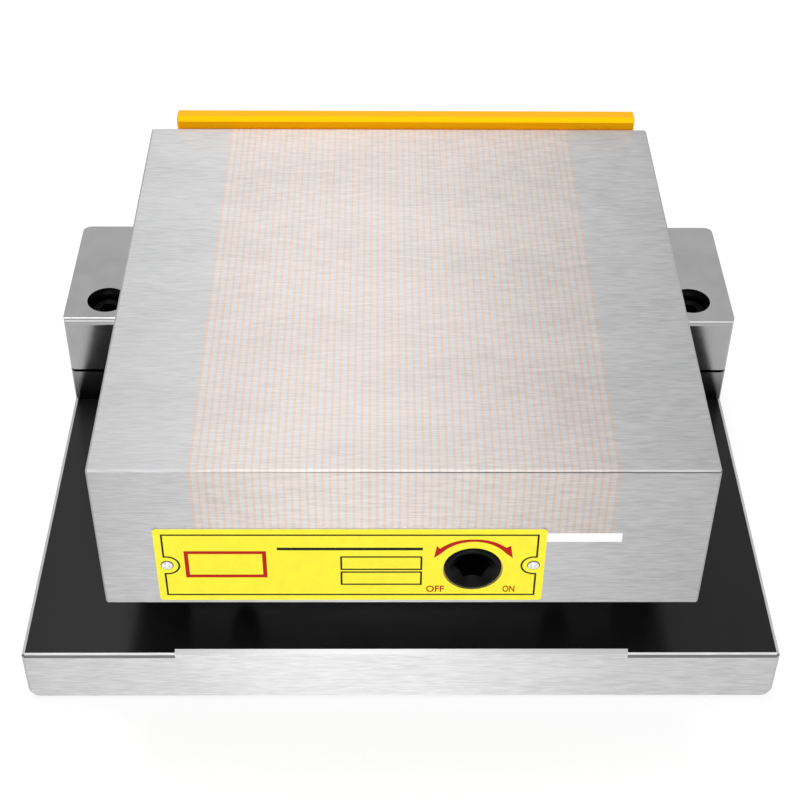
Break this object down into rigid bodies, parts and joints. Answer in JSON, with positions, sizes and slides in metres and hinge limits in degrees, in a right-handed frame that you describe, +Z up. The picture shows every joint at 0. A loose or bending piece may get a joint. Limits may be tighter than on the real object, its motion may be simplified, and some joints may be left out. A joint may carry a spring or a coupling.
{
  "type": "magnetic chuck",
  "caption": "Square fine-pole permanent magnet chuck with key drive and rear stop, hinged on a sine roller between clamp blocks on a steel base.",
  "frame": {"origin": "centre of the base plate's underside", "axes": "+Z up through the work face, front with the key socket faces -Y, +X to the right along the hinge roller"},
  "size_m": [0.2, 0.1639, 0.0891],
  "materials": {
    "ground_steel": "surface ground",
    "satin_steel": "satin",
    "black_screw": "black oxide",
    "copper": "ground copper",
    "resin": "cast",
    "brass": "milled",
    "rubber": "moulded",
    "ferrite": "sintered",
    "yellow_plate": "printed",
    "rivet_aluminium": "bright",
    "gold_brass": "polished"
  },
  "bodies": {
    "base": {"base_plate": "ground_steel", "left_clamp_block": "satin_steel", "right_clamp_block": "satin_steel", "block_screws": "black_screw"},
    "chuck": {"chuck_frame": "ground_steel", "steel_laminations": "ground_steel", "copper_spacers": "copper", "resin_strips": "resin", "bottom_cover": "satin_steel", "cover_screws": "black_screw", "drive_bush": "brass", "drive_seal": "rubber", "drive_stop_screw": "black_screw", "guide_strips": "brass", "name_plate": "yellow_plate", "plate_rivets": "rivet_aluminium", "stop_screws": "black_screw", "stop_washers": "satin_steel", "sine_body": "satin_steel", "sine_body_screws": "black_screw", "front_roller": "ground_steel", "hinge_roller": "ground_steel", "roller_screws": "black_screw"},
    "drive": {"drive_shaft": "black_screw", "crank_ring": "satin_steel"},
    "carriage": {"carriage_tray": "brass", "carriage_yoke": "brass", "magnets": "ferrite", "carriage_poles": "satin_steel"},
    "rear_stop": {"rear_stop_plate": "gold_brass"},
    "left_lock": {"left_lock_screw": "black_screw"},
    "right_lock": {"right_lock_screw": "black_screw"}
  },
  "joints": [
    {"name": "tilt", "type": "hinge", "parent": "base", "child": "chuck", "pos_m": [0, 0.053, 0.0291], "axis": [-1, 0, 0], "range_deg": [0, 45]},
    {"name": "drive_turn", "type": "hinge", "parent": "chuck", "child": "drive", "pos_m": [0.0173, -0.076, 0.05242], "axis": [0, 1, 0], "range_deg": [0, 180]},
    {"name": "carriage_slide", "type": "slide", "parent": "chuck", "child": "carriage", "axis": [1, 0, 0], "range_m": [0, 0.005]},
    {"name": "stop_slide", "type": "slide", "parent": "chuck", "child": "rear_stop", "axis": [0, 0, 1], "range_m": [-0.004, 0.004]},
    {"name": "left_lock_turn", "type": "hinge", "parent": "base", "child": "left_lock", "pos_m": [-0.088, 0.037, 0.0455], "axis": [0, 0, 1], "range_deg": [0, 180]},
    {"name": "right_lock_turn", "type": "hinge", "parent": "base", "child": "right_lock", "pos_m": [0.088, 0.037, 0.0455], "axis": [0, 0, 1], "range_deg": [0, 180]}
  ],
  "couplings": [
    {"joint": "drive_turn", "follows": "carriage_slide", "rad_per_m": 628.3}
  ]
}
